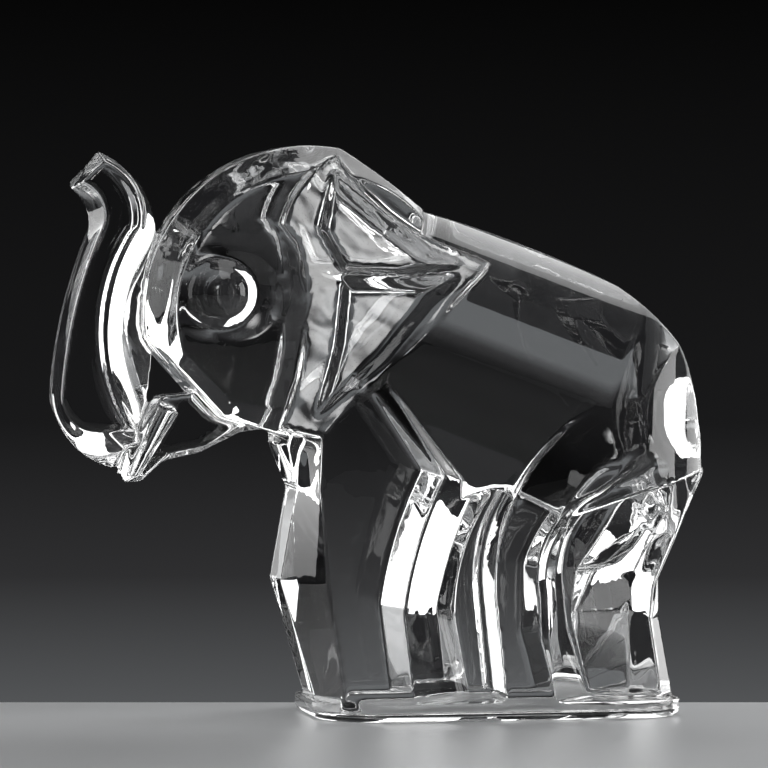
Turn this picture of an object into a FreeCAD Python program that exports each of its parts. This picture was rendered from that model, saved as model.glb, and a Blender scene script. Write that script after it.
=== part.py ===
"""A solid lead-crystal elephant with its trunk raised, standing on its own low foot slab.

The real figurine is one casting. Here it is divided along its own creases into the masses that
it is modelled from: barrel, legs, head, trunk, ears and so on. Neighbours meet face to face.

Frame: the elephant faces -X, its left side is -Y, +Z is up, and the origin is on the floor under
the middle of the figurine. All sizes are in millimetres.
"""
import FreeCAD, Part
import math
import os

Vector = FreeCAD.Vector
Rotation = FreeCAD.Rotation
Placement = FreeCAD.Placement
X_AXIS, Y_AXIS, Z_AXIS = Vector(1, 0, 0), Vector(0, 1, 0), Vector(0, 0, 1)
LEFT, RIGHT = -1, 1

# The outlines below are drawn at this length and height, with this X under the middle.
DRAWN_LENGTH = 166.0
DRAWN_HEIGHT = 142.0
DRAWN_MIDDLE = 1.9
ON_SLAB = "on slab"

# Driving dimensions
SIZES = {
    "length": DRAWN_LENGTH,
    "height": DRAWN_HEIGHT,
    "barrel_width": 55.0,
    "flank_radius": 60.0,
    "belt_depth": 31.6,
    "back_slope": 20.0,
    "front_leg_spread": 52.0,
    "hind_leg_spread": 55.0,
    "web_thickness": 16.0,
    "inner_relief": 36.0,
    "front_groove": 1.6,
    "slab_height": 4.5,
    "slab_margin": 0.5,
    "slab_front_corner": 17.0,
    "slab_rear_corner": 13.0,
    "slab_edge": 1.2,
    "head_width": 43.0,
    "head_radius": 41.5,
    "head_rim": 14.0,
    "cheek_radius": 35.0,
    "cheek_dome": 2.5,
    "cheek_bevel": 7.0,
    "trunk_width": 25.0,
    "jaw_width": 13.0,
    "tusk_width": 5.0,
    "tusk_spacing": 18.0,
    "tail_width": 9.0,
    "eye_radius": 8.0,
    "eye_rim": 1.4,
    "eye_dome": 2.4,
    "eye_seat": 1.6,
    "pupil_radius": 4.4,
    "pupil_rise": 0.8,
    "dish_radius": 15.5,
    "dish_depth": 2.6,
    "ear_thickness": 9.0,
    "ear_hollow": 3.2,
    "ear_reach": 21.5,
    "ear_flare": 10.0,
    "ear_lean": 7.0,
}

doc = FreeCAD.newDocument("elephant")
sheet = doc.addObject("Spreadsheet::Sheet", "Sizes")
for row, (alias, value) in enumerate(SIZES.items(), start=1):
    sheet.set(f"A{row}", alias)
    sheet.set(f"B{row}", str(value))
    sheet.setAlias(f"B{row}", alias)
doc.recompute()


# Building blocks

def size(alias):
    return float(sheet.get(alias))


def place(x, z, y=0.0):
    """A point drawn in side view, moved to the figurine's real length and height."""
    height = size("slab_height") if z == ON_SLAB else z * size("height") / DRAWN_HEIGHT
    return Vector((x - DRAWN_MIDDLE) * size("length") / DRAWN_LENGTH, y, height)


def add(kind, name, **properties):
    thing = doc.addObject(kind, name)
    for key, value in properties.items():
        setattr(thing, key, value)
    return thing


def bind(thing, **expressions):
    """Tie an object's properties to the sheet. A double underscore stands for a dot."""
    for name, expression in expressions.items():
        thing.setExpression(name.replace("__", "."), expression)
    return thing


def stretch_curve(points):
    """A straight line through two points, or an arc through three."""
    return Part.LineSegment(*points) if len(points) == 2 else Part.Arc(*points)


def draw(sketch, stretches):
    """Draw a closed outline. Each stretch of points runs on to the first point of the next."""
    for stretch, following in zip(stretches, stretches[1:] + stretches[:1]):
        sketch.addGeometry(stretch_curve([*stretch, following[0]]), False)


def outline(name, reach, stretches):
    """A closed side-view outline of (x, z) points at Y = reach, an expression."""
    sketch = add("Sketcher::SketchObject", name)
    placed = [[place(x, z) for x, z in stretch] for stretch in stretches]
    draw(sketch, [[Vector(p.x, p.z, 0) for p in stretch] for stretch in placed])
    sketch.Placement = Placement(Vector(), Rotation(X_AXIS, 90))
    return bind(sketch, Placement__Base__y=reach)


def loft(name, sections):
    """A ruled solid through side-view outlines, given as pairs of reach and stretches."""
    sketches = [outline(f"{name}_outline", reach, shape) for reach, shape in sections]
    return add("Part::Loft", name, Sections=sketches, Solid=True, Ruled=True)


def both_sides(sections):
    """Outlines given from the middle plane outwards, repeated on the other side."""
    return [(f"-({reach})", shape) for reach, shape in sections[:0:-1]] + sections


def slab_of(name, stretches, half):
    """A side-view outline carried straight across between Y = -half and half, an expression."""
    base = outline(f"{name}_outline", f"-({half})", stretches)
    block = add("Part::Extrusion", name, Base=base, Dir=Y_AXIS, Solid=True, DirMode="Custom")
    return bind(block, LengthFwd=f"2 * ({half})")


def band(name, stations, middle=0.0):
    """A faceted limb. Each station is front point, back point, half width, and the two shares
    of the way from front to back between which its side is flat."""
    rings = []
    for front, back, half, flat_start, flat_end in stations:
        ridge, spine = place(*front, y=middle), place(*back, y=middle)
        across = spine - ridge
        near, far = ridge + across * flat_start, ridge + across * flat_end
        side = Vector(0, half, 0)
        nodes = [ridge, near - side, far - side, spine, far + side, near + side]
        rings.append(add("Part::Polygon", f"{name}_ring", Nodes=nodes, Close=True))
    return add("Part::Loft", name, Sections=rings, Solid=True, Ruled=True)


def cut(name, base, *tools):
    """The base less each tool in turn. The last result takes the name."""
    for tool in tools[:-1]:
        base = add("Part::Cut", f"{name}_trimmed", Base=base, Tool=tool)
    return add("Part::Cut", name, Base=base, Tool=tools[-1])


def shared(name, first, *others):
    """What all the forms have in common."""
    for other in others:
        first = add("Part::Common", name, Base=first, Tool=other)
    return first


def other_side(name, source):
    return add("Part::Mirroring", name, Source=source, Base=Vector(), Normal=Y_AXIS)


def body_with_sketch(name, role):
    """A body with one empty sketch on the origin plane of that role."""
    body = add("PartDesign::Body", name)
    doc.recompute()
    plane = next(f for f in body.Origin.OriginFeatures if f.Role == role)
    sketch = body.newObject("Sketcher::SketchObject", f"{name}_sketch")
    sketch.AttachmentSupport = [(plane, "")]
    sketch.MapMode = "FlatFace"
    return body, sketch


# Barrel: one rounded section run along the sloping back, trimmed in side view and in plan

# The section's ridge and lower end, measured square to the back from a point low in the rump
RUMP_CENTRE = (27.8, 61.1)
RIDGE = 56.6
BELLY = -20.0


def barrel_section():
    """The barrel's cross-section, square to the back. Its flanks are widest at the belt."""
    half, flank, depth = size("barrel_width") / 2, size("flank_radius"), size("belt_depth")
    belt = RIDGE - depth
    back = (half ** 2 + depth ** 2) / (2 * half)

    def on_flank(height):
        return Vector(half - flank + math.sqrt(flank ** 2 - (belt - height) ** 2), height, 0)

    shoulder = Vector(half - back * (1 - math.sqrt(0.5)), belt + back * math.sqrt(0.5), 0)
    right = [on_flank(BELLY), on_flank((BELLY + belt) / 2), on_flank(belt), shoulder]
    left = [Vector(-p.x, p.y, 0) for p in reversed(right)]
    ridge = Vector(0, RIDGE, 0)
    sketch = add("Sketcher::SketchObject", "barrel_section")
    draw(sketch, [right[0:2], right[2:4], [ridge, left[0]], left[1:3], left[3:4]])
    turn = Rotation(Y_AXIS, size("back_slope")) * Rotation(Z_AXIS, 90) * Rotation(X_AXIS, 90)
    sketch.Placement = Placement(place(*RUMP_CENTRE), turn)
    return sketch


def barrel_form():
    side_view = [
        [(-21, 48), (-22.5, 58)], [(-25.2, 68), (-17, 92)], [(-7, 112)],
        [(8.9, 126), (37, 117.2)], [(60, 107), (73.5, 92)], [(80.2, 73), (81.6, 66)],
        [(80.6, 60)], [(66, 57)], [(47, 50)], [(31, 57.5)], [(26, 57.5)], [(0, 48)]]
    plan = [
        [(-25.6, -9), (-21, -22)], [(-8, -29)], [(58, -29), (74, -19.5)], [(82.5, -6)],
        [(82.5, 6), (74, 19.5)], [(58, 29)], [(-8, 29), (-21, 22)], [(-25.6, 9)]]
    run = add("Part::Extrusion", "barrel_run", Base=barrel_section(), DirMode="Normal", Solid=True)
    bind(run, LengthFwd="Sizes.length", LengthRev="Sizes.length")
    profile = slab_of("barrel_profile", side_view, "Sizes.barrel_width")
    plan_sketch = add("Sketcher::SketchObject", "barrel_plan")
    draw(plan_sketch, [[place(x, 0, y) for x, y in stretch] for stretch in plan])
    footprint = add("Part::Extrusion", "barrel_footprint", Base=plan_sketch, Dir=Z_AXIS,
                    DirMode="Custom", Solid=True)
    bind(footprint, LengthFwd="Sizes.height * 2")
    return shared("barrel", run, profile, footprint)


# Legs: an outline at the web and a narrower one on the outer face, with a slope between

def front_leg(name, side):
    web = [
        [(-25.8, 34)], [(-21.6, 57)], [(-25, 68)], [(-20, 88)], [(6, 88)],
        [(16.4, 74.8)], [(27.6, 55), (19.2, 35)], [(18.4, 24)],
        [(22, ON_SLAB)], [(-17, ON_SLAB)]]
    face = [
        [(-16.8, 34)], [(-19, 57)], [(-18.4, 67)], [(-18, 84)], [(-3, 84)],
        [(1.9, 77.6)], [(12.6, 61), (4.2, 38)], [(2.0, 27)],
        [(4.7, ON_SLAB)], [(-12.4, ON_SLAB)]]
    groove = size("front_groove")
    middle = [[(x + groove if x < 0 else x, z) for x, z in stretch] for stretch in web]
    near, outer = f"{side} * Sizes.web_thickness / 2", f"{side} * Sizes.front_leg_spread / 2"
    return loft(name, [("0", middle), (near, web), (outer, face)])


def hind_leg(name, side, web, face, relief):
    """A hind leg also shows as a low relief on the other side of the web."""
    near, outer = "Sizes.web_thickness / 2", f"{side} * Sizes.hind_leg_spread / 2"
    return loft(name, [(f"{-side} * Sizes.inner_relief / 2", relief), (f"{-side} * {near}", web),
                       (f"{side} * {near}", web), (outer, face)])


def left_hind_leg(name):
    web = [
        [(64, 84), (45, 73)], [(31.3, 55), (26.4, 43)], [(25.7, 31)],
        [(28.6, ON_SLAB)], [(53.5, ON_SLAB)], [(47.5, 22)], [(46, 34), (49, 47)],
        [(60, 56)], [(68, 66)]]
    face = [
        [(61, 80), (44.5, 73.5)], [(31, 57.7), (26, 45)], [(24.6, 32)],
        [(27.5, ON_SLAB)], [(40.3, ON_SLAB)], [(36.2, 20)], [(35.8, 31), (38.6, 46.5)],
        [(50, 56)], [(63.5, 65)]]
    relief = [
        [(49, 60)], [(33, 50)], [(29.5, 31)],
        [(31, ON_SLAB)], [(41, ON_SLAB)], [(37, 20)], [(37.5, 38)],
        [(44, 50)], [(49, 56)]]
    return hind_leg(name, LEFT, web, face, relief)


def right_hind_leg(name):
    web = [
        [(50, ON_SLAB)], [(45.6, 22)], [(45.2, 34), (48.5, 50)], [(60, 64)], [(76, 66)],
        [(79, 54), (75, 43)], [(70.6, 34)], [(70.8, 24)], [(74.2, ON_SLAB)]]
    face = [
        [(50, ON_SLAB)], [(47, 22)], [(47, 34), (50, 48)], [(60, 60)], [(69, 62)],
        [(73, 54), (69, 44)], [(61.5, 34)], [(59.6, 24)], [(62, ON_SLAB)]]
    relief = [
        [(60.5, ON_SLAB)], [(61, 22)], [(62, 34)], [(67, 44)], [(70, 46)],
        [(72.5, 44)], [(67, 32)], [(66, 24)], [(69, ON_SLAB)]]
    return hind_leg(name, RIGHT, web, face, relief)


def web_form():
    """The thin wall of glass left standing between the front and hind legs."""
    wall = [[(-10, ON_SLAB)], [(68, ON_SLAB)], [(68, 60)], [(-10, 60)]]
    return slab_of("web_form", wall, "Sizes.web_thickness / 2")


def plinth(name):
    """The foot slab: a rounded rectangle with its lower edge chamfered."""
    body, sketch = body_with_sketch(name, "XY_Plane")
    front, rear = place(-18.5, 0).x, place(74, 0).x
    half = size("hind_leg_spread") / 2 + size("slab_margin")
    off_corner = 1 - math.sqrt(0.5)
    stretches = []
    for x, y, inward_x, inward_y, alias in (
            (front, -half, 1, 1, "slab_front_corner"), (rear, -half, -1, 1, "slab_rear_corner"),
            (rear, half, -1, -1, "slab_rear_corner"), (front, half, 1, -1, "slab_front_corner")):
        radius = size(alias)
        middle = Vector(x + inward_x * radius * off_corner, y + inward_y * radius * off_corner, 0)
        ends = [Vector(x, y + inward_y * radius, 0), Vector(x + inward_x * radius, y, 0)]
        if inward_x != inward_y:
            ends.reverse()
        stretches += [[ends[0], middle], [ends[1]]]
    draw(sketch, stretches)
    slab = body.newObject("PartDesign::Pad", "plinth_slab")
    slab.Profile = sketch
    bind(slab, Length="Sizes.slab_height")
    doc.recompute()
    foot_edges = [f"Edge{number}" for number, edge in enumerate(slab.Shape.Edges, start=1)
                  if abs(edge.CenterOfMass.z) < 0.01]
    bevel = body.newObject("PartDesign::Chamfer", "plinth_foot_edge")
    bevel.Base = (slab, foot_edges)
    bind(bevel, Size="Sizes.slab_edge")
    return body


# Head: a turned lens with domed cheeks and a bevelled rim, trimmed to the nape and jaw

HEAD_FRONT = (-59.5, 100.5)


def head_form():
    half, rim = size("head_width") / 2, size("head_rim") / 2
    radius, cheek, dome = size("head_radius"), size("cheek_radius"), size("cheek_dome")
    edge = half - dome
    ball = (cheek ** 2 + dome ** 2) / (2 * dome)
    on_cheek = Vector(cheek / 2, half - ball + math.sqrt(ball ** 2 - cheek ** 2 / 4), 0)
    profile = [
        [Vector(0, half, 0), on_cheek], [Vector(cheek, edge, 0)], [Vector(radius, rim, 0)],
        [Vector(radius, -rim, 0)], [Vector(cheek, -edge, 0), Vector(on_cheek.x, -on_cheek.y, 0)],
        [Vector(0, -half, 0)]]
    sketch = add("Sketcher::SketchObject", "head_profile")
    draw(sketch, profile)
    centre = place(*HEAD_FRONT) + Vector(radius, 0, 0)
    sketch.Placement = Placement(centre, Rotation())
    lens = add("Part::Revolution", "head_lens", Source=sketch, Base=centre, Axis=Y_AXIS,
               Angle=360, Solid=True)
    top = [[(-14, 145)], [(-11.5, 142.3)], [(9.3, 126.2)], [(4, 104)]]
    low = [[(-12, 71)], [(-26, 70.5)], [(-41, 75)], [(-55, 90)], [(-61, 97)], [(-62, 145)]]
    high = [[(-12, 79)], [(-27, 79.2)], [(-38.6, 81)], [(-52, 95.4)], [(-58, 101.5)], [(-62, 145)]]
    side = "Sizes.head_width / 2 + 0.5"
    block = loft("head_block", both_sides([
        ("0", top + low), (f"{side} - Sizes.cheek_bevel", top + low), (side, top + high)]))
    return shared("head", lens, block)


EYE_CENTRE = (-42.2, 105.6)
EYE_FLOOR = "Sizes.head_width / 2 - Sizes.dish_depth - Sizes.eye_seat"


def eye_tools(side):
    """The shallow dish round one eye and the flat-floored seat of the eye itself."""
    centre = place(*EYE_CENTRE)
    radius = "(Sizes.dish_radius ^ 2 + Sizes.dish_depth ^ 2) / (2 * Sizes.dish_depth)"
    dish = add("Part::Sphere", "eye_dish", Placement=Placement(centre, Rotation()))
    bind(dish, Radius=radius,
         Placement__Base__y=f"{side} * (Sizes.head_width / 2 - Sizes.dish_depth + {radius})")
    seat = add("Part::Cylinder", "eye_seat",
               Placement=Placement(centre, Rotation(X_AXIS, -90 * side)))
    bind(seat, Radius="Sizes.eye_radius", Height="Sizes.head_width",
         Placement__Base__y=f"{side} * ({EYE_FLOOR})")
    return dish, seat


def eye(name, side):
    """A round button with a sloping face and a raised pupil that comes to a low point."""
    body, sketch = body_with_sketch(name, "XZ_Plane")
    rim, pupil = size("eye_radius"), size("pupil_radius")
    rim_height = size("eye_seat") + size("eye_rim")
    step_height = rim_height + size("eye_dome") * 0.7
    crown_height = rim_height + size("eye_dome") + size("pupil_rise")
    lip_height = step_height + size("pupil_rise")
    draw(sketch, [
        [Vector()], [Vector(rim, 0, 0)], [Vector(rim, rim_height, 0)],
        [Vector(pupil, step_height, 0)], [Vector(pupil, lip_height, 0)],
        [Vector(0, crown_height, 0)]])
    turned = body.newObject("PartDesign::Revolution", "eye_turned")
    turned.Profile = sketch
    turned.ReferenceAxis = (sketch, ["V_Axis"])
    turned.Angle = 360
    body.Placement = Placement(place(*EYE_CENTRE), Rotation(X_AXIS, -90 * side))
    return bind(body, Placement__Base__y=f"{side} * ({EYE_FLOOR})")


# Trunk: a flat-sided S with a wide bevel down its back and a narrow one down its front

def trunk_form():
    ridge = [
        [(-70.1, 140.6)], [(-76.9, 131.4), (-73.2, 126.5)], [(-72.5, 120.3), (-78.4, 100.5)],
        [(-81.5, 81), (-77.4, 69)], [(-66.5, 62)], [(-60, 65), (-56.4, 92)],
        [(-55.5, 118.1), (-60.3, 133.2)]]
    side = [
        [(-70.3, 138)], [(-75.8, 132.8), (-71.4, 129.6)], [(-70.1, 123), (-77.4, 102)],
        [(-80.7, 81), (-78.6, 74.5)], [(-72, 71.8)], [(-62, 71.7), (-69.9, 93)],
        [(-61.3, 122), (-63.3, 132.2)]]
    return loft("trunk_form", both_sides([("0", ridge), ("Sizes.trunk_width / 2", side)]))


def jaw_form():
    """The lower lip and chin, narrower than the head above it."""
    middle = [
        [(-63.8, 58.4)], [(-59.5, 58.6)], [(-54.0, 63.7)], [(-45, 65.6)],
        [(-34.5, 70.7)], [(-26, 71.8)], [(-26, 82)], [(-56, 80)], [(-66, 64)]]
    side = [
        [(-62.0, 60.4)], [(-58.8, 60.6)], [(-53.3, 66.0)], [(-45, 67.6)],
        [(-35.5, 72.5)], [(-28, 73.6)], [(-28, 82)], [(-55, 80)], [(-63.5, 66)]]
    return loft("jaw_form", both_sides([("0", middle), ("Sizes.jaw_width / 2", side)]))


def tusk_form(side):
    middle = side * size("tusk_spacing") / 2
    half = size("tusk_width") / 2
    return band("tusk_form", [
        ((-56.5, 78.0), (-51.0, 76.0), half, 0.3, 0.7),
        ((-64.6, 60.2), (-61.0, 60.0), half * 0.7, 0.3, 0.7),
    ], middle)


def tail_form():
    wide = size("tail_width") / 2
    return band("tail_form", [
        ((74.0, 73.0), (82.6, 71.0), wide * 0.5, 0.4, 0.8),
        ((74.0, 61.0), (84.4, 59.5), wide, 0.4, 0.8),
        ((67.0, 40.0), (75.8, 40.8), wide * 0.8, 0.4, 0.8),
        ((66.0, 31.5), (71.6, 32.0), wide * 0.35, 0.4, 0.8),
    ])


# Ears: a flaring plate with a rim, an upper facet and a deeper hollow under the fold

EAR_PLATE = [
    [(-14, 140.5), (-3, 127)], [(11, 118.5)], [(23.5, 113.5), (2, 90)],
    [(-19, 70.4)], [(-28, 72.5), (-22, 95)], [(-24, 118)], [(-27.6, 122.5), (-22.8, 133)]]
EAR_HINGE = (-25, 95)


def seated_as_ear(thing):
    """Turned out towards the rear, leaned in towards the top, and set at the ear's reach."""
    turn = Rotation(Z_AXIS, -size("ear_flare")) * Rotation(X_AXIS, -size("ear_lean"))
    thing.Placement = Placement(Vector(0, -size("ear_reach"), 0), turn, place(*EAR_HINGE))
    return thing


def left_ear(name):
    upper = [[(-15, 136)], [(9, 115.8)], [(17.5, 112.5)], [(3, 110.5)], [(-13, 111.5)], [(-19, 122)]]
    upper_floor = [
        [(-14.6, 131)], [(5.5, 114.6)], [(10, 112.9)], [(2, 111.6)], [(-11.6, 112.6)], [(-15.8, 121)]]
    lower = [[(-13, 110)], [(16.5, 110.2)], [(-2, 88.5)], [(-20, 74)], [(-15, 92)]]
    lower_floor = [[(-10.5, 106.5)], [(8, 106.2)], [(-4.5, 90.5)], [(-15.5, 80)], [(-12, 93)]]
    plate = loft(f"{name}_plate", [("0", EAR_PLATE), ("Sizes.ear_thickness", EAR_PLATE)])
    hollows = [
        loft(f"{name}_hollow", [("0", rim), ("Sizes.ear_hollow", floor)])
        for rim, floor in ((upper, upper_floor), (lower, lower_floor))]
    return seated_as_ear(cut(name, plate, *hollows))


def left_ear_recess():
    """What the ear takes out of the head and barrel: its own plate, thickened outwards."""
    return seated_as_ear(loft("ear_recess", [
        ("-Sizes.ear_thickness", EAR_PLATE), ("Sizes.ear_thickness", EAR_PLATE)]))


# The masses in their whole forms, then each one trimmed by those that it meets

barrel = barrel_form()
skull = head_form()
proboscis = trunk_form()
chin = jaw_form()
ear = left_ear("ear_left")
ear_recess = left_ear_recess()
recesses = [ear_recess, other_side("ear_recess_right", ear_recess)]
hind_left = left_hind_leg("hind_leg_left")
hind_right = right_hind_leg("hind_right_form")
front_legs = {"left": front_leg("front_left_form", LEFT), "right": front_leg("front_right_form", RIGHT)}
legs = [*front_legs.values(), hind_left, hind_right]

parts = {
    "plinth": plinth("plinth"),
    "front_leg_left": cut("front_leg_left", front_legs["left"], recesses[0]),
    "front_leg_right": cut("front_leg_right", front_legs["right"], recesses[1]),
    "hind_leg_left": hind_left,
    "hind_leg_right": cut("hind_leg_right", hind_right, hind_left),
    "leg_web": cut("leg_web", web_form(), barrel, *legs),
    "torso": cut("torso", barrel, *recesses, *legs),
    "tail": cut("tail", tail_form(), barrel, hind_left, hind_right),
    "trunk": cut("trunk", proboscis, skull),
    "lower_jaw": cut("lower_jaw", chin, skull, proboscis, barrel),
    "ear_left": ear,
    "ear_right": other_side("ear_right", ear),
}
eye_hollows = []
for word, side in (("left", LEFT), ("right", RIGHT)):
    eye_hollows += eye_tools(side)
    parts[f"eye_{word}"] = eye(f"eye_{word}", side)
    parts[f"tusk_{word}"] = cut(f"tusk_{word}", tusk_form(side), skull, chin, proboscis)
parts["head"] = cut("head", skull, barrel, *recesses, *eye_hollows)

for name, part in parts.items():
    part.Label = name
doc.recompute()
for thing in doc.Objects:
    if "Invalid" in thing.State or "Error" in thing.State:
        raise RuntimeError(f"{thing.Label} did not build: {thing.State}")
for name, part in parts.items():
    if part.Shape.isNull() or not part.Shape.isValid():
        raise RuntimeError(f"{name} is not a valid solid")

os.makedirs("parts", exist_ok=True)
for name, part in parts.items():
    part.Shape.exportStep(f"parts/{name}.step")
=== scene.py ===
"""A solid crystal elephant with its trunk raised, on a pale table top, before a dark backdrop.

All lengths are in metres. The elephant faces -X, its left side is -Y and +Z is up.
"""
import math

import bpy
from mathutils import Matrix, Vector
from mathutils.bvhtree import BVHTree


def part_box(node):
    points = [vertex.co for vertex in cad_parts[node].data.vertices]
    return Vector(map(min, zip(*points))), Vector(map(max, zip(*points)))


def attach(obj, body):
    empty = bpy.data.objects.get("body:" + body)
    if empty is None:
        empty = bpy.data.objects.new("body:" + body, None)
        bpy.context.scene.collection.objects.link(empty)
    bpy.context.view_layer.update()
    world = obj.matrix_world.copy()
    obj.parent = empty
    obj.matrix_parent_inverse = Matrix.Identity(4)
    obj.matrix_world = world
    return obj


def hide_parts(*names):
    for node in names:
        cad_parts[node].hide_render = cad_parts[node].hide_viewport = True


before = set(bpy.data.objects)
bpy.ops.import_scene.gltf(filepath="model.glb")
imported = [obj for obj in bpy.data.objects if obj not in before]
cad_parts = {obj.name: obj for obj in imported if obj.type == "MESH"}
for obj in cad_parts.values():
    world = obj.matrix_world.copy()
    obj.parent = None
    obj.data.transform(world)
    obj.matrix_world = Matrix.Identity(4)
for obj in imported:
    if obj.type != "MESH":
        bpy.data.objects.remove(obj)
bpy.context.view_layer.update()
scene = bpy.context.scene
MM = 0.001


# Small helpers

def pick_none():
    for thing in bpy.context.selected_objects:
        thing.select_set(False)


def pick_only(*things):
    pick_none()
    for thing in things:
        thing.select_set(True)
    bpy.context.view_layer.objects.active = things[0]


def finish_modifier(thing, kind, **settings):
    """Add one modifier, set it up and apply it."""
    pick_only(thing)
    modifier = thing.modifiers.new(kind.lower(), kind)
    for key, value in settings.items():
        setattr(modifier, key, value)
    bpy.ops.object.modifier_apply(modifier=modifier.name)


def new_material(name):
    material = bpy.data.materials.new(name)
    material.use_nodes = True
    return material


def add_node(tree, kind, values=None, **settings):
    """A shader node, with its settings and the constant values of its inputs."""
    node = tree.nodes.new(f"ShaderNode{kind}")
    for key, value in settings.items():
        setattr(node, key, value)
    for key, value in (values or {}).items():
        node.inputs[key].default_value = value
    return node


# Camera: a long lens, nearly level, a little ahead of the elephant's left side

AIM = Vector((0.0001, 0.0, 0.0825))
CAMERA_DISTANCE = 1.4
CAMERA_AZIMUTH = math.radians(-11)
CAMERA_ELEVATION = math.radians(1.8)
CAMERA_LENS = 262.5
SENSOR_WIDTH = 36.0


def towards(azimuth, elevation):
    """The unit vector from the aim to a point seen at that azimuth and elevation."""
    flat = math.cos(elevation)
    return Vector((math.sin(azimuth) * flat, -math.cos(azimuth) * flat, math.sin(elevation)))


def add_camera():
    away = towards(CAMERA_AZIMUTH, CAMERA_ELEVATION) * CAMERA_DISTANCE
    bpy.ops.object.camera_add(location=AIM + away)
    camera = bpy.context.object
    camera.name = "camera"
    camera.rotation_euler = (AIM - camera.location).to_track_quat("-Z", "Y").to_euler()
    camera.data.lens = CAMERA_LENS
    camera.data.sensor_width = SENSOR_WIDTH
    camera.data.clip_end = 20
    scene.camera = camera


pick_none()
add_camera()


# The casting: all the masses melted into one body of glass with fire-polished edges

VOXEL = 0.55 * MM
WELD_DISTANCE = 0.002 * MM
SMOOTH_FACTOR = 0.5
MELT_ROUNDS = 8
MOST_TRIANGLES = 190000
EYE_REACH = 11 * MM
EYE_ROUNDS = 30
HAUNCH_TIPS = (Vector((61 * MM, -25 * MM, 65 * MM)), Vector((64 * MM, 25 * MM, 62 * MM)))
HAUNCH_REACH = 9 * MM
HAUNCH_ROUNDS = 40


def melt_together(names):
    """One closed skin over copies of the named masses, with every crease between them rounded."""
    copies = []
    for name in names:
        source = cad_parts[name]
        copy = source.copy()
        copy.data = source.data.copy()
        bpy.context.collection.objects.link(copy)
        copies.append(copy)
    pick_only(*copies)
    bpy.ops.object.join()
    casting = bpy.context.object
    casting.name = "crystal_casting"
    casting.data.name = "crystal_casting"
    casting.data.materials.clear()
    bpy.ops.object.mode_set(mode="EDIT")
    bpy.ops.mesh.select_all(action="SELECT")
    bpy.ops.mesh.remove_doubles(threshold=WELD_DISTANCE)
    bpy.ops.object.mode_set(mode="OBJECT")
    finish_modifier(casting, "REMESH", mode="VOXEL", voxel_size=VOXEL)
    finish_modifier(casting, "SMOOTH", factor=SMOOTH_FACTOR, iterations=MELT_ROUNDS)
    return casting


def soften(casting, spot, reach, rounds):
    """More fire polish round one spot, whole to half its reach and fading out beyond."""
    group = casting.vertex_groups.new(name="soft")
    for vertex in casting.data.vertices:
        away = (vertex.co - spot).length
        if away < reach:
            group.add([vertex.index], min(1.0, 2 * (1 - away / reach)), "REPLACE")
    finish_modifier(casting, "SMOOTH", factor=SMOOTH_FACTOR, iterations=rounds, vertex_group="soft")
    casting.vertex_groups.remove(casting.vertex_groups["soft"])


def thin_out(casting):
    """Fewer faces where the skin is flat."""
    triangles = sum(len(face.vertices) - 2 for face in casting.data.polygons)
    finish_modifier(casting, "DECIMATE", ratio=min(1.0, MOST_TRIANGLES / triangles))
    pick_only(casting)
    bpy.ops.object.shade_smooth()


def middle_of(node):
    low, high = (Vector(corner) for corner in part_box(node))
    return (low + high) / 2


casting = melt_together(sorted(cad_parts))
for eye in ("eye_left", "eye_right"):
    soften(casting, middle_of(eye), EYE_REACH, EYE_ROUNDS)
for haunch_tip in HAUNCH_TIPS:
    soften(casting, haunch_tip, HAUNCH_REACH, HAUNCH_ROUNDS)
thin_out(casting)


# Crystal

MARK_REACH = 1.2 * MM
CROWN_HEIGHT = 121 * MM
WAVE_SHARE = 0.25
BUMP_STRENGTH = 0.2
BUMP_DEPTH = 0.4 * MM


def mark_near(casting, attribute, names, lowest=0.0):
    """A value on each point of the casting: 1 on the named masses, falling to 0 at the reach.
    Points below the lowest height get 0."""
    trees = []
    for name in names:
        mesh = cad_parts[name].data
        corners = [vertex.co for vertex in mesh.vertices]
        trees.append(BVHTree.FromPolygons(corners, [tuple(p.vertices) for p in mesh.polygons]))
    values = casting.data.attributes.new(attribute, "FLOAT", "POINT")
    for vertex, value in zip(casting.data.vertices, values.data):
        nearest = [tree.find_nearest(vertex.co, MARK_REACH)[3] for tree in trees]
        found = [distance for distance in nearest if distance is not None]
        value.value = 1 - min(found) / MARK_REACH if found and vertex.co.z > lowest else 0.0


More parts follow.
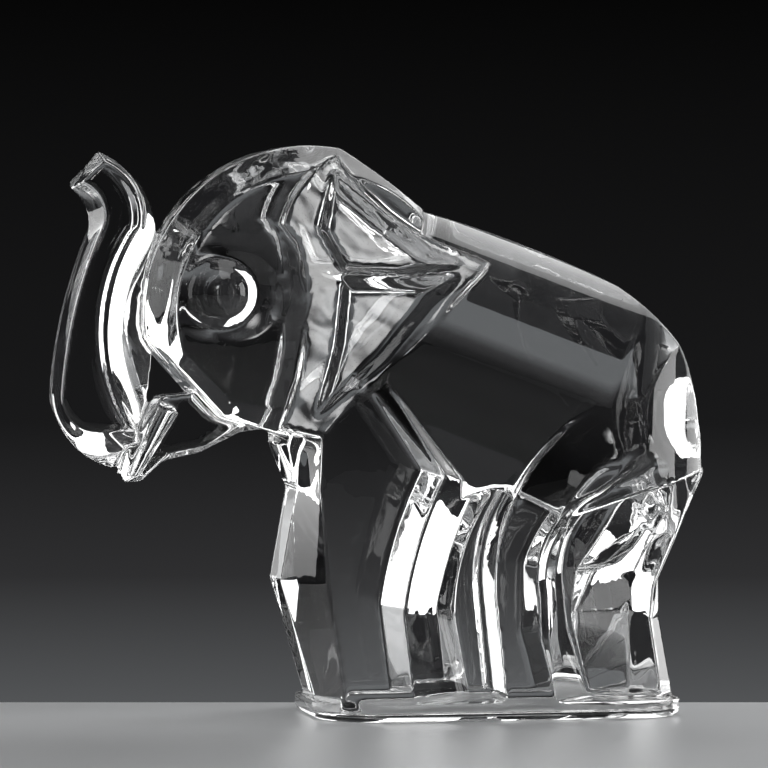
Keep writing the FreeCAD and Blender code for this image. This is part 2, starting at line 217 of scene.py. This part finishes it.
def crystal():
    """Clear lead crystal. Its skin is faintly wavy all over, with flow lines on the ears and a
    finer unevenness on the crown of the head."""
    material = new_material("crystal")
    tree = material.node_tree
    join = tree.links.new
    shader = tree.nodes["Principled BSDF"]
    shader.inputs["Base Color"].default_value = (0.985, 0.99, 0.99, 1)
    shader.inputs["Transmission Weight"].default_value = 1
    shader.inputs["Roughness"].default_value = 0.0
    shader.inputs["IOR"].default_value = 1.545

    place = add_node(tree, "TexCoord")
    waves = add_node(tree, "TexNoise", {"Scale": 55, "Detail": 2})
    lines = add_node(tree, "TexWave", bands_direction="DIAGONAL", values={
        "Scale": 45, "Distortion": 5, "Detail": 2, "Detail Scale": 1.6})
    chill = add_node(tree, "TexNoise", {"Scale": 160, "Detail": 3})
    for pattern in (waves, lines, chill):
        join(place.outputs["Object"], pattern.inputs["Vector"])

    ears = add_node(tree, "Attribute", attribute_name="ear_glass")
    crown = add_node(tree, "Attribute", attribute_name="crown_glass")
    on_ears = add_node(tree, "Math", operation="MULTIPLY")
    on_crown = add_node(tree, "Math", operation="MULTIPLY_ADD")
    height = add_node(tree, "Math", {1: WAVE_SHARE}, operation="MULTIPLY_ADD")
    bump = add_node(tree, "Bump", {"Strength": BUMP_STRENGTH, "Distance": BUMP_DEPTH})
    join(lines.outputs["Fac"], on_ears.inputs[0])
    join(ears.outputs["Fac"], on_ears.inputs[1])
    join(chill.outputs["Fac"], on_crown.inputs[0])
    join(crown.outputs["Fac"], on_crown.inputs[1])
    join(on_ears.outputs[0], on_crown.inputs[2])
    join(waves.outputs["Fac"], height.inputs[0])
    join(on_crown.outputs[0], height.inputs[2])
    join(height.outputs[0], bump.inputs["Height"])
    join(bump.outputs["Normal"], shader.inputs["Normal"])
    return material


mark_near(casting, "ear_glass", ("ear_left", "ear_right"))
mark_near(casting, "crown_glass", ("head",), lowest=CROWN_HEIGHT)
casting.data.materials.append(crystal())
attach(casting, "root")
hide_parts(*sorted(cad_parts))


# Table top

TABLE_WIDTH = 3.0
TABLE_DEPTH = 1.2
TABLE_THICKNESS = 0.03
TABLE_BEHIND = 0.031


def table_top():
    """A pale slab whose rear edge passes just behind the elephant, square to the view."""
    bpy.ops.mesh.primitive_cube_add(size=1)
    table = bpy.context.object
    table.name = "table_top"
    table.scale = (TABLE_WIDTH, TABLE_DEPTH, TABLE_THICKNESS)
    table.location = (0, TABLE_BEHIND - TABLE_DEPTH / 2, -TABLE_THICKNESS / 2)
    bpy.ops.object.transform_apply(location=True, scale=True)
    table.rotation_euler = (0, 0, CAMERA_AZIMUTH)
    bpy.ops.object.transform_apply(rotation=True)
    material = new_material("pale_table")
    shader = material.node_tree.nodes["Principled BSDF"]
    shader.inputs["Base Color"].default_value = (0.62, 0.63, 0.64, 1)
    shader.inputs["Roughness"].default_value = 0.4
    table.data.materials.append(material)


# Backdrop, and the dark room round it

BACKDROP_DISTANCE = 1.5
BACKDROP_WIDTH = 0.9
BACKDROP_HEIGHT = 0.9
# Painted light: the backdrop's glow, grey at its foot, black at its top and darker greys between
BACKDROP_FOOT = (0.115, 0.12, 0.125, 1)
BACKDROP_TOP = (0.002, 0.002, 0.002, 1)
# Shares of the way up the view, with the grey there
BACKDROP_BETWEEN = ((0.25, 0.028), (0.45, 0.010))


def backdrop():
    """A screen across the view that glows with painted light, grey at the table's level and black
    at the top.
    """
    centre = AIM - towards(CAMERA_AZIMUTH, CAMERA_ELEVATION) * BACKDROP_DISTANCE
    bpy.ops.mesh.primitive_plane_add(size=1)
    screen = bpy.context.object
    screen.name = "backdrop"
    screen.scale = (BACKDROP_WIDTH, BACKDROP_HEIGHT, 1)
    screen.rotation_euler = (math.pi / 2, 0, CAMERA_AZIMUTH)
    screen.location = centre
    bpy.ops.object.transform_apply(location=True, scale=True, rotation=True)
    in_view = (CAMERA_DISTANCE + BACKDROP_DISTANCE) * SENSOR_WIDTH / CAMERA_LENS

    material = new_material("backdrop")
    tree = material.node_tree
    join = tree.links.new
    tree.nodes.clear()
    place = add_node(tree, "TexCoord")
    split = add_node(tree, "SeparateXYZ")
    rise = add_node(tree, "MapRange", {
        "From Min": centre.z - in_view / 2, "From Max": centre.z + in_view / 2})
    fade = add_node(tree, "ValToRGB")
    foot, top = fade.color_ramp.elements
    foot.color = BACKDROP_FOOT
    top.color = BACKDROP_TOP
    for share, grey in BACKDROP_BETWEEN:
        fade.color_ramp.elements.new(share).color = (grey, grey, grey * 1.05, 1)
    glow = add_node(tree, "Emission")
    surface = add_node(tree, "OutputMaterial")
    join(place.outputs["Object"], split.inputs[0])
    join(split.outputs["Z"], rise.inputs["Value"])
    join(rise.outputs[0], fade.inputs[0])
    join(fade.outputs[0], glow.inputs["Color"])
    join(glow.outputs[0], surface.inputs[0])
    screen.data.materials.append(material)


def dark_room():
    world = bpy.data.worlds.new("dark_room")
    world.use_nodes = True
    world.node_tree.nodes["Background"].inputs["Color"].default_value = (0.012, 0.012, 0.013, 1)
    scene.world = world


# Lamps: each with its azimuth and elevation in degrees, distance, width, height and radiance

LAMP_AIM = Vector((0, 0, 0.07))
# Distances from a glow card's middle, in shares of its width, where it is full and where it ends
GLOW_FULL = 0.05
GLOW_ENDS = 0.5
SOFTBOXES = {
    "top_softbox": (20, 62, 0.7, 0.35, 0.35, 2),
    "left_softbox": (-80, 15, 0.7, 0.4, 0.5, 1.5),
    "right_softbox": (80, 12, 0.7, 0.3, 0.4, 4),
    "left_rear_softbox": (-138, 14, 0.9, 0.7, 0.7, 2),
    "right_rear_softbox": (124, 14, 0.9, 0.5, 0.7, 2),
    "rear_top_softbox": (148, 46, 1.0, 0.9, 0.6, 2),
}


def lamp_spot(azimuth, elevation, distance):
    return LAMP_AIM + towards(math.radians(azimuth), math.radians(elevation)) * distance


def softbox(name, azimuth, elevation, distance, width, height, radiance):
    """A rectangular lamp facing the elephant. Its power follows from its size and radiance."""
    bpy.ops.object.light_add(type="AREA", location=lamp_spot(azimuth, elevation, distance))
    lamp = bpy.context.object
    lamp.name = name
    lamp.rotation_euler = (LAMP_AIM - lamp.location).to_track_quat("-Z", "Y").to_euler()
    lamp.data.shape = "RECTANGLE"
    lamp.data.size = width
    lamp.data.size_y = height
    lamp.data.energy = radiance * width * height * math.pi
    lamp.visible_camera = False


def soft_glow(name, azimuth, elevation, distance, width, height, strength):
    """A card that glows at its middle and fades to nothing at its edge, unseen by the camera."""
    spot = lamp_spot(azimuth, elevation, distance)
    bpy.ops.mesh.primitive_plane_add(size=1, location=spot)
    card = bpy.context.object
    card.name = name
    card.scale = (width, height, 1)
    card.rotation_euler = (LAMP_AIM - spot).to_track_quat("Z", "Y").to_euler()
    bpy.ops.object.transform_apply(location=True, rotation=True, scale=True)
    material = new_material(name)
    tree = material.node_tree
    join = tree.links.new
    tree.nodes.clear()
    place = add_node(tree, "TexCoord")
    from_middle = add_node(tree, "VectorMath", {1: (0.5, 0.5, 0)}, operation="DISTANCE")
    fade = add_node(tree, "MapRange", interpolation_type="SMOOTHSTEP", values={
        "From Min": GLOW_ENDS, "From Max": GLOW_FULL, "To Max": strength})
    glow = add_node(tree, "Emission")
    surface = add_node(tree, "OutputMaterial")
    join(place.outputs["UV"], from_middle.inputs[0])
    join(from_middle.outputs["Value"], fade.inputs["Value"])
    join(fade.outputs[0], glow.inputs["Strength"])
    join(glow.outputs[0], surface.inputs[0])
    card.data.materials.append(material)
    card.visible_camera = False


table_top()
backdrop()
dark_room()
for name, lamp in SOFTBOXES.items():
    softbox(name, *lamp)
soft_glow("ear_glow", -9, 15, 1.5, 0.35, 0.35, 9)


# View and light paths: enough bounces for light to cross the glass many times

scene.view_settings.view_transform = "Standard"
scene.cycles.max_bounces = 24
scene.cycles.transmission_bounces = 24
scene.cycles.glossy_bounces = 12
